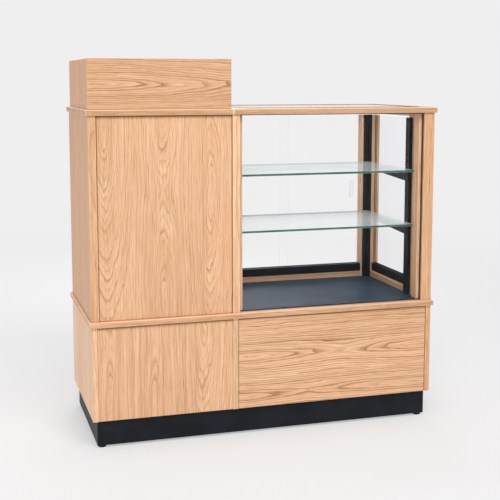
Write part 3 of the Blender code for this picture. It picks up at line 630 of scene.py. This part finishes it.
def powder_coat(node, box=None):
    """Powder coat for a fitting, or for a trim whose box is given."""
    low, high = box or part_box(node)
    coat = Finish("coat_" + node, Specular_IOR_Level=0.15)
    place = coat.place()
    peel = coat.clouds(place, ORANGE_PEEL, 2.0)
    cloud = coat.clouds(place, COAT_CLOUDS, 2.0)
    rubbed = coat.ramp(edge_distance(place, low, high), *COAT_RUB, 1.0, 0.0)
    base = coat.blend(coat.ramp(cloud, 0.3, 0.7), COAT_DARK, COAT_SOFT)
    base = coat.blend(rubbed * coat.ramp(cloud, 0.40, 0.62) * 0.5, base, COAT_RUBBED)
    coat.paint(Base_Color=base, Roughness=COAT_ROUGHNESS + peel * 0.16 + cloud * 0.06)
    coat.bump(peel, PEEL_DEPTH, PEEL_STRENGTH)
    return coat.material


COATED = ["lower_track", "upper_track", "side_channel"]
COATED += [f"standard_{end}_{side}" for end in ("front", "back") for side in ("left", "right")]
COATED += [f"bracket_{step}_{side}" for step in ("lower", "upper") for side in ("left", "right")]
for fitting in COATED:
    dress(fitting, powder_coat(fitting))
print("coated fittings:", len(COATED))

# %% [markdown]
# ## Slate laminate on the deck
# The deck of the glazed case is a dark laminate printed and pressed like slate: slow blue-grey
# clouds, paler flecks, and low layers that break up its gloss. It is seen at a very flat angle,
# where any gloss mirrors the pale backdrop, so its specular level is kept low.

# %% The slate deck
SLATE_DARK, SLATE_SOFT, SLATE_FLECK = colour(36, 52, 67), colour(48, 66, 82), colour(84, 100, 116)
SLATE_CLOUDS, SLATE_FLECKS, SLATE_LAYERS = (9, 16, 9), 700, (60, 150, 60)
SLATE_ROUGHNESS, SLATE_DEPTH, SLATE_STRENGTH = 0.30, 0.00004, 0.35
slate = Finish("slate_deck", Specular_IOR_Level=0.035)
deck_place = slate.place()
cloud = slate.clouds(deck_place, SLATE_CLOUDS, 4.0)
fleck = slate.clouds(deck_place, SLATE_FLECKS, 2.0)
layer = slate.clouds(deck_place, SLATE_LAYERS, 3.0)
slate_base = slate.blend(slate.ramp(cloud, 0.3, 0.7), SLATE_DARK, SLATE_SOFT)
slate_base = slate.blend(slate.ramp(fleck, 0.62, 0.72) * 0.5, slate_base, SLATE_FLECK)
slate.paint(Base_Color=slate_base, Roughness=SLATE_ROUGHNESS + layer * 0.18)
slate.bump(layer * 0.6 + fleck * 0.4, SLATE_DEPTH, SLATE_STRENGTH)
dress("display_deck", slate.material)
print("one slate deck")

# %% [markdown]
# ## Glass
# Float glass is clear through its face and green through its edge, where light has travelled a long
# way inside it. Real refraction would need many bounces and would block the light that falls on the
# shelves, so the faces are simply almost clear, and at a glancing angle they turn more solid and
# pale, a painted sheen that stands in for the reflection, and the narrow faces are a nearly solid
# sea green. The face of a sheet is told from its edge by its own normal. An edge that looks to the
# front shows in full, and the others, which are mostly seen through the sheet, show faintly.

# %% The glass finish
GLASS_FACE = colour(238, 248, 252)
GLASS_EDGE, GLASS_EDGE_DEEP = colour(34, 116, 101), colour(6, 72, 62)
FACE_SHARE, EDGE_SHARE, FAR_EDGE = 0.004, 0.97, 0.25
# How solid and pale a face turns at a glancing angle: a painted sheen for the reflection.
UPRIGHT_SHEEN, LEVEL_SHEEN, GLANCE_POWER = 0.35, 0.95, 4.0
SMEARS, EDGE_STREAKS = (7, 7, 5), 14
GLASS_ROUGHNESS = 0.03
CLEAR_BOUNCES = 48


def glass(node, thin, edge_share, sheen_share):
    """Glass for one sheet. Thin is the axis through its thickness."""
    sheet = Finish("glass_" + node, Specular_IOR_Level=0.7)
    place, normal = sheet.place(), sheet.normal()
    edge = sheet.ramp(normal[thin].math("ABSOLUTE"), 0.35, 0.85, 1.0, 0.0)
    front = sheet.ramp(normal[Y], -0.7, -0.3, 1.0, 0.0)
    smear = sheet.clouds(place, SMEARS, 4.0)
    streak = sheet.clouds(place, EDGE_STREAKS, 2.0)
    glance = sheet.node("ShaderNodeLayerWeight", {}, {"Blend": 0.5}, "Facing")
    edge_tone = sheet.blend(sheet.ramp(streak, 0.3, 0.7), GLASS_EDGE, GLASS_EDGE_DEEP)
    # At a glancing angle the face turns more solid and pale, a painted sheen that stands in for the
    # reflection.
    clear = FACE_SHARE * (0.7 + smear * 0.6) + glance ** GLANCE_POWER * sheen_share
    solid = (1 - edge) * clear + edge * edge_share * (FAR_EDGE + front * (1 - FAR_EDGE))
    sheet.paint(Base_Color=sheet.blend(edge, GLASS_FACE, edge_tone), Alpha=solid)
    sheet.paint(Roughness=GLASS_ROUGHNESS + smear * 0.05 + edge * 0.08)
    return sheet.material


SHEETS = {  # the axis through the thickness of each sheet
    "front_glass": Y, "glass_door_left": Y, "glass_door_right": Y, "side_glass": X,
    "top_glass": Z, "shelf_lower": Z, "shelf_upper": Z,
}
FAINT_EDGES = {"glass_door_left": 0.20, "glass_door_right": 0.20, "side_glass": 0.40}
for sheet_name, thin in SHEETS.items():
    edge_share = FAINT_EDGES.get(sheet_name, EDGE_SHARE)
    sheen_share = LEVEL_SHEEN if thin == Z else UPRIGHT_SHEEN
    dress(sheet_name, glass(sheet_name, thin, edge_share, sheen_share))
bpy.context.scene.cycles.transparent_max_bounces = CLEAR_BOUNCES
print("glass sheets:", ", ".join(SHEETS))

# %% [markdown]
# ## Brushed steel and rubber
# The hinge and the flush pull are satin steel, brushed one way: noise that is very fine across
# the strokes and long along them, with a few smudges. The feet and the seals are moulded rubber,
# matt, with dust that gathers at the foot.

# %% Steel and rubber
STEEL_PALE, STEEL_DARK = colour(196, 197, 198), colour(150, 151, 153)
ACROSS_STROKES, ALONG_STROKES, SMUDGES = 2600.0, 40.0, 45
STEEL_ROUGHNESS, STROKE_DEPTH, STROKE_STRENGTH = 0.24, 0.00003, 0.6
RUBBER_DARK, RUBBER_SOFT = colour(20, 20, 21), colour(44, 43, 43)
GRIME, DUST_REACH, DUST_ABOVE = 120, 0.006, 0.15
RUBBER_ROUGHNESS, GRIME_DEPTH, GRIME_STRENGTH = 0.6, 0.0001, 0.5


def brushed_steel(node, grain):
    """Steel with brush strokes along one axis."""
    metal = Finish("steel_" + node, Metallic=1.0)
    place = metal.place()
    strokes = tuple(ALONG_STROKES if axis == grain else ACROSS_STROKES for axis in (X, Y, Z))
    lines = metal.clouds(place, strokes, 2.0)
    smudge = metal.clouds(place, SMUDGES, 3.0)
    base = metal.blend(metal.ramp(lines, 0.3, 0.7), STEEL_PALE, STEEL_DARK)
    metal.paint(Base_Color=base, Roughness=STEEL_ROUGHNESS + lines * 0.14 + smudge * 0.08)
    metal.bump(lines, STROKE_DEPTH, STROKE_STRENGTH)
    return metal.material


def moulded_rubber(name, dust_level, dark=RUBBER_DARK, soft=RUBBER_SOFT):
    """Rubber of two tones, with the most dust at one level and less above it."""
    rubber = Finish("rubber_" + name, Specular_IOR_Level=0.25)
    place = rubber.place()
    grime = rubber.clouds(place, GRIME, 3.0)
    low_down = rubber.ramp(place[Z], dust_level, dust_level + DUST_REACH, 1.0, DUST_ABOVE)
    rubber.paint(Base_Color=rubber.blend(low_down * grime, dark, soft))
    rubber.paint(Roughness=RUBBER_ROUGHNESS + grime * 0.25)
    rubber.bump(grime, GRIME_DEPTH, GRIME_STRENGTH)
    return rubber.material


STEEL = ("hinge_frame_leaf", "hinge_door_leaf", "tower_door_pull")
for fitting in STEEL:
    dress(fitting, brushed_steel(fitting, Z))
FEET = [f"foot_{end}_{side}" for end in ("front", "back") for side in ("left", "right")]
for foot in FEET:
    dress(foot, moulded_rubber(foot, 0.0))
print("steel fittings:", len(STEEL), "and rubber feet:", len(FEET))

# %% [markdown]
# ## The light bars
# The light bars are aluminium channels with an opal strip let into the underside. The strip
# glows softly, enough to read as a white line and not enough to light the case by itself. Strip
# and channel are one piece, so the height of a point tells which of them it is.

# %% The light bars
OPAL, BAR_METAL = colour(250, 250, 248), colour(214, 215, 216)
OPAL_GLOW, FROST, BAR_ROUGHNESS = 0.55, 300, 0.35
OPAL_FULL, OPAL_END = 0.0045, 0.0055  # metres above the underside
NO_LIGHT, FULL_LIGHT = (0, 0, 0, 1), (1, 1, 1, 1)
LIGHT_BARS = ("light_bar_back", "light_bar_right")
for bar in LIGHT_BARS:
    foot_of_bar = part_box(bar)[0][Z]
    lit = Finish("lit_" + bar, Specular_IOR_Level=0.4, Emission_Strength=OPAL_GLOW)
    place = lit.place()
    opal = lit.ramp(place[Z], foot_of_bar + OPAL_FULL, foot_of_bar + OPAL_END, 1.0, 0.0)
    frost = lit.clouds(place, FROST, 2.0)
    lit.paint(Base_Color=lit.blend(opal, BAR_METAL, OPAL), Roughness=BAR_ROUGHNESS + frost * 0.2)
    lit.paint(Emission_Color=lit.blend(opal * (0.9 + frost * 0.2), NO_LIGHT, FULL_LIGHT))
    dress(bar, lit.material)
print("light bars:", ", ".join(LIGHT_BARS))

# %% [markdown]
# ## Trims
# Seals, stops, screws and finger pulls are too fine for the solid model, so they are made here
# and ride on the body that carries them. Each is a skin over a row of rings: a mitred seal is
# one ring of four corners for every point of its section, a screw is a stack of circles, and a
# stop is its section at the foot and again at the head. Rings keep the corners exact, which a
# curve with a bevel would round off.

# %% Helpers for the trims
CLEARANCE = 0.0003  # metres between a trim and the piece that it meets


def skin(shape, rings, closed=False):
    """Joins rings of points, with a cap at each end unless the last ring meets the first."""
    rows = [[shape.verts.new(point) for point in ring] for ring in rings]
    pairs = list(zip(rows, rows[1:]))
    if closed:
        pairs.append((rows[-1], rows[0]))
    else:
        shape.faces.new(rows[0])
        shape.faces.new(rows[-1])
    for one, other in pairs:
        for here in range(len(one)):
            there = (here + 1) % len(one)
            shape.faces.new((one[here], one[there], other[there], other[here]))


def add_trim(name, shape, body, finish):
    """Makes a piece of a skin and says what carries it and which material slot it takes."""
    bmesh.ops.recalc_face_normals(shape, faces=shape.faces)
    mesh = bpy.data.meshes.new(name)
    shape.to_mesh(mesh)
    shape.free()
    mesh.materials.append(finish)
    trim = bpy.data.objects.new(name, mesh)
    bpy.context.scene.collection.objects.link(trim)
    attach(trim, body)


def mitred_rings(low, high, flat, level, outward, section):
    """Rings of a strip round a sheet. The section lists (in from the edge, out from the face)."""
    first, second = [axis for axis in (X, Y, Z) if axis != flat]
    rings = []
    for inset, lift in section:
        left, foot = low[first] + inset, low[second] + inset
        right, head = high[first] - inset, high[second] - inset
        ring = []
        for a, b in ((left, foot), (right, foot), (right, head), (left, head)):
            point = [0.0, 0.0, 0.0]
            point[first], point[second], point[flat] = a, b, level + outward * lift
            ring.append(point)
        rings.append(ring)
    return rings


print("trims keep", CLEARANCE, "m clear")

# %% [markdown]
# ## Seals
# A black seal runs round each fixed sheet on both faces and shows as the thin dark line between
# glass and oak. The front sheet stands bare on the waist board, so its seal leaves out the foot:
# its section is carried from corner to corner and stops at the last one. The top glass lies in a
# rebate, and its joint is closed with a low bead, brown like the oak, which draws the line at
# the far side of the top.

# %% Seals
SEAL_SECTION = [(0.0002, 0.0002), (0.0002, 0.0010), (0.0012, 0.0012), (0.0024, 0.0007),
                (0.0025, 0.0002)]
BEAD_SECTION = [(-0.0016, 0.0001), (-0.0010, 0.0014), (0.0010, 0.0014), (0.0016, 0.0001)]
BEAD_BROWN, BEAD_DUSTY = colour(164, 112, 74), colour(142, 98, 66)

for sheet_name, flat in {"front_glass": Y, "side_glass": X}.items():
    all_round = sheet_name == "side_glass"
    low, high = (Vector(corner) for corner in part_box(sheet_name))
    if all_round:
        low.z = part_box("side_channel")[1][Z] + CLEARANCE
    seal = bmesh.new()
    for level, outward in ((low[flat], -1), (high[flat], 1)):
        corners = list(zip(*mitred_rings(low, high, flat, level, outward, SEAL_SECTION)))
        if all_round:
            skin(seal, corners, closed=True)
        else:
            skin(seal, corners[1:] + corners[:1])
    seal_name = sheet_name + "_seal"
    add_trim(seal_name, seal, "counter", moulded_rubber(seal_name, low.z))

low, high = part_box("top_glass")
bead = bmesh.new()
skin(bead, mitred_rings(low, high, Z, high[Z], 1, BEAD_SECTION), closed=True)
brown_bead = moulded_rubber("top_glass_bead", 0.0, BEAD_BROWN, BEAD_DUSTY)
add_trim("top_glass_bead", bead, "counter", brown_bead)
print("seals on the front and side glass, and a bead round the top glass")

# %% [markdown]
# ## The facing of the plinth
# The laminate of the plinth is one thin sheet that runs round all four boards and hides their
# joints. Its section is a thin upright strip, carried round the plinth in four mitred corners.

# %% The facing of the plinth
FACING = 0.0012
front_low, front_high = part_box("plinth_front")
plinth_low = Vector((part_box("plinth_left")[0][X], front_low[Y], front_low[Z]))
plinth_high = Vector((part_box("plinth_right")[1][X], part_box("plinth_back")[1][Y], front_high[Z]))
height = plinth_high.z - plinth_low.z
facing_section = [(-CLEARANCE, 0.0), (-FACING, 0.0), (-FACING, height), (-CLEARANCE, height)]
facing = bmesh.new()
facing_rings = mitred_rings(plinth_low, plinth_high, Z, plinth_low.z, 1, facing_section)
skin(facing, facing_rings, closed=True)
facing_sheet = laminate("plinth_facing", (plinth_low, plinth_high))
add_trim("plinth_facing", facing, "counter", facing_sheet)
print("facing", round(height, 3), "m high")

# %% [markdown]
# ## Stops
# Behind the front glass an oak stop stands against each upright and keeps the sheet from falling
# inwards. It is a straight strip with its inner back corner rounded, so its section is drawn
# once, with three short chords for the round, and set at the foot and at the head.

# %% Stops
STOP_THICKNESS, STOP_DEPTH, STOP_ROUND, STOP_GAP = 0.012, 0.040, 0.004, 0.0016
STOP_SEED = 71.3
ROUND_STEPS = [math.radians(turn) for turn in (30, 60, 90)]

glass_low, glass_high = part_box("front_glass")
stop_start = glass_high[Y] + STOP_GAP
stop_end = stop_start + STOP_DEPTH
stop_foot, stop_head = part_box("display_deck")[1][Z] + CLEARANCE, glass_high[Z]
for side, wall, inward in (("left", glass_low[X], 1), ("right", glass_high[X], -1)):
    inner = wall + inward * STOP_THICKNESS
    section = [(wall, stop_start), (inner, stop_start), (inner, stop_end - STOP_ROUND)]
    for turn in ROUND_STEPS:
        over = STOP_ROUND * (1 - math.cos(turn))
        back = STOP_ROUND * (1 - math.sin(turn))
        section.append((inner - inward * over, stop_end - back))
    section.append((wall, stop_end))
    stop = bmesh.new()
    skin(stop, [[(x, y, z) for x, y in section] for z in (stop_foot, stop_head)])
    stop_low = (min(wall, inner), stop_start, stop_foot)
    stop_high = (max(wall, inner), stop_end, stop_head)
    stop_oak = oak("stop_" + side, Z, X, STRAIGHT_CUT, seed=STOP_SEED, box=(stop_low, stop_high))
    add_trim("glass_stop_" + side, stop, "counter", stop_oak)
print("stops", STOP_DEPTH, "m deep")

# %% [markdown]
# ## Screws
# The standards are held by dome-headed screws with a six-sided socket, one at each end, where
# there are no slots. Two smaller ones hold the flush pull. A head is a stack of rings: the
# skirt, the dome, and then the six-sided ring twice, once at the rim of the socket and once at
# its floor.

# %% Screws
HEAD_POINTS = 24
SIXTH = math.pi / 3
DOME = [(1.0, 0.0), (1.0, 0.25), (0.90, 0.62), (0.70, 0.90)]  # share of radius and of height
SOCKET_RADIUS, SOCKET_RIM, SOCKET_FLOOR = 0.50, 1.0, 0.35
HEAD_RADIUS, HEAD_HEIGHT, HEAD_INSET = 0.0042, 0.0016, 0.011
SMALL_RADIUS, SMALL_HEIGHT, SMALL_INSET = 0.0021, 0.0009, 0.0042
OUTWARD = {"front_left": (1, 0, 0), "back_left": (1, 0, 0), "front_right": (-1, 0, 0),
           "back_right": (0, -1, 0)}


def screw_rings(spot, direction, radius, height):
    """The rings of one screw head, on a face that looks in the given direction."""
    turn = Vector(direction).to_track_quat("Z", "Y")
    angles = [2 * math.pi * step / HEAD_POINTS for step in range(HEAD_POINTS)]
    to_flat = SOCKET_RADIUS * math.cos(SIXTH / 2)
    flats = [to_flat / math.cos(a % SIXTH - SIXTH / 2) for a in angles]
    shares = [([share] * HEAD_POINTS, lift) for share, lift in DOME]
    shares += [(flats, lift) for lift in (SOCKET_RIM, SOCKET_FLOOR)]
    rings = []
    for reaches, lift in shares:
        ring = []
        for reach, a in zip(reaches, angles):
            out = reach * radius
            point = Vector((out * math.cos(a), out * math.sin(a), lift * height))
            ring.append(Vector(spot) + turn @ point)
        rings.append(ring)
    return rings


heads = bmesh.new()
for where, direction in OUTWARD.items():
    low, high = (Vector(corner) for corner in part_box("standard_" + where))
    half = (high - low) / 2
    on_face = (low + high) / 2 + Vector(d * h for d, h in zip(direction, half))
    for level in (low.z + HEAD_INSET, high.z - HEAD_INSET):
        spot = (on_face.x, on_face.y, level)
        skin(heads, screw_rings(spot, direction, HEAD_RADIUS, HEAD_HEIGHT))
# Heads that are outside the box of the last standard count as rubbed all over.
screw_coat = powder_coat("standard_screws", (low, high))
add_trim("standard_screws", heads, "counter", screw_coat)

low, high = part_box("tower_door_pull")
pull_middle = (low[X] + high[X]) / 2
heads = bmesh.new()
for level in (low[Z] + SMALL_INSET, high[Z] - SMALL_INSET):
    spot = (pull_middle, high[Y], level)
    skin(heads, screw_rings(spot, (0, 1, 0), SMALL_RADIUS, SMALL_HEIGHT))
add_trim("pull_screws", heads, "tower_door", brushed_steel("pull_screws", X))
print("screw heads:", 2 * len(OUTWARD) + 2)

# %% [markdown]
# ## Finger pulls on the rear doors
# The glass doors have no handle in the solid model. Doors that pass each other leave only a few
# millimetres between them, so each gets a flat dished pull of clear acrylic, stuck to the staff
# side near the edge that opens. The rings are one rounded outline, set in and lowered step by
# step. Its slopes catch more light than its flats, so they are drawn a little more solid.

# %% Finger pulls
PULL_WIDTH, PULL_HEIGHT, PULL_MARGIN, PULL_TURNS = 0.018, 0.070, 0.030, 8
PULL_STEPS = [  # in from the outline and off the glass
    (0.0, 0.0004), (0.0, 0.0026), (0.0010, 0.0034), (0.0028, 0.0034), (0.0040, 0.0014)]
ACRYLIC, FINGER_MARKS = colour(214, 226, 228), 160
FLAT_SHARE, SLOPE_SHARE, ACRYLIC_ROUGHNESS = 0.08, 0.22, 0.08


def rounded_outline(inset):
    """A strip with half-round ends, as points across and up."""
    radius = PULL_WIDTH / 2 - inset
    reach = PULL_HEIGHT / 2 - PULL_WIDTH / 2
    points = []
    for start, end in ((0, reach), (math.pi, -reach)):
        for step in range(PULL_TURNS + 1):
            angle = start + math.pi * step / PULL_TURNS
            points.append((radius * math.cos(angle), end + radius * math.sin(angle)))
    return points


def clear_acrylic(name):
    """Clear plastic whose slopes show more than its flats."""
    plastic = Finish("acrylic_" + name, Specular_IOR_Level=0.6, Base_Color=ACRYLIC)
    slope = plastic.ramp(plastic.normal()[Y].math("ABSOLUTE"), 0.55, 0.95, 1.0, 0.0)
    mark = plastic.clouds(plastic.place(), FINGER_MARKS, 3.0)
    plastic.paint(Alpha=FLAT_SHARE + slope * SLOPE_SHARE + mark * 0.04)
    plastic.paint(Roughness=ACRYLIC_ROUGHNESS + mark * 0.10)
    return plastic.material


for side, inward in (("left", 1), ("right", -1)):
    door = "glass_door_" + side
    low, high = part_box(door)
    edge = low[X] if side == "left" else high[X]
    middle_x, middle_z = edge + inward * PULL_MARGIN, (low[Z] + high[Z]) / 2
    rings = []
    for inset, lift in PULL_STEPS:
        outline = rounded_outline(inset)
        rings.append([(middle_x + x, high[Y] + lift, middle_z + z) for x, z in outline])
    dish = bmesh.new()
    skin(dish, rings)
    add_trim("finger_pull_" + side, dish, door, clear_acrylic("finger_pull_" + side))
print("finger pulls stand", max(lift for _, lift in PULL_STEPS), "m off the glass")

# %% [markdown]
# ## Size
# The trims must not make the counter larger, so the box of the dressed counter is measured.

# %% Measure the dressed counter
low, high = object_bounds()
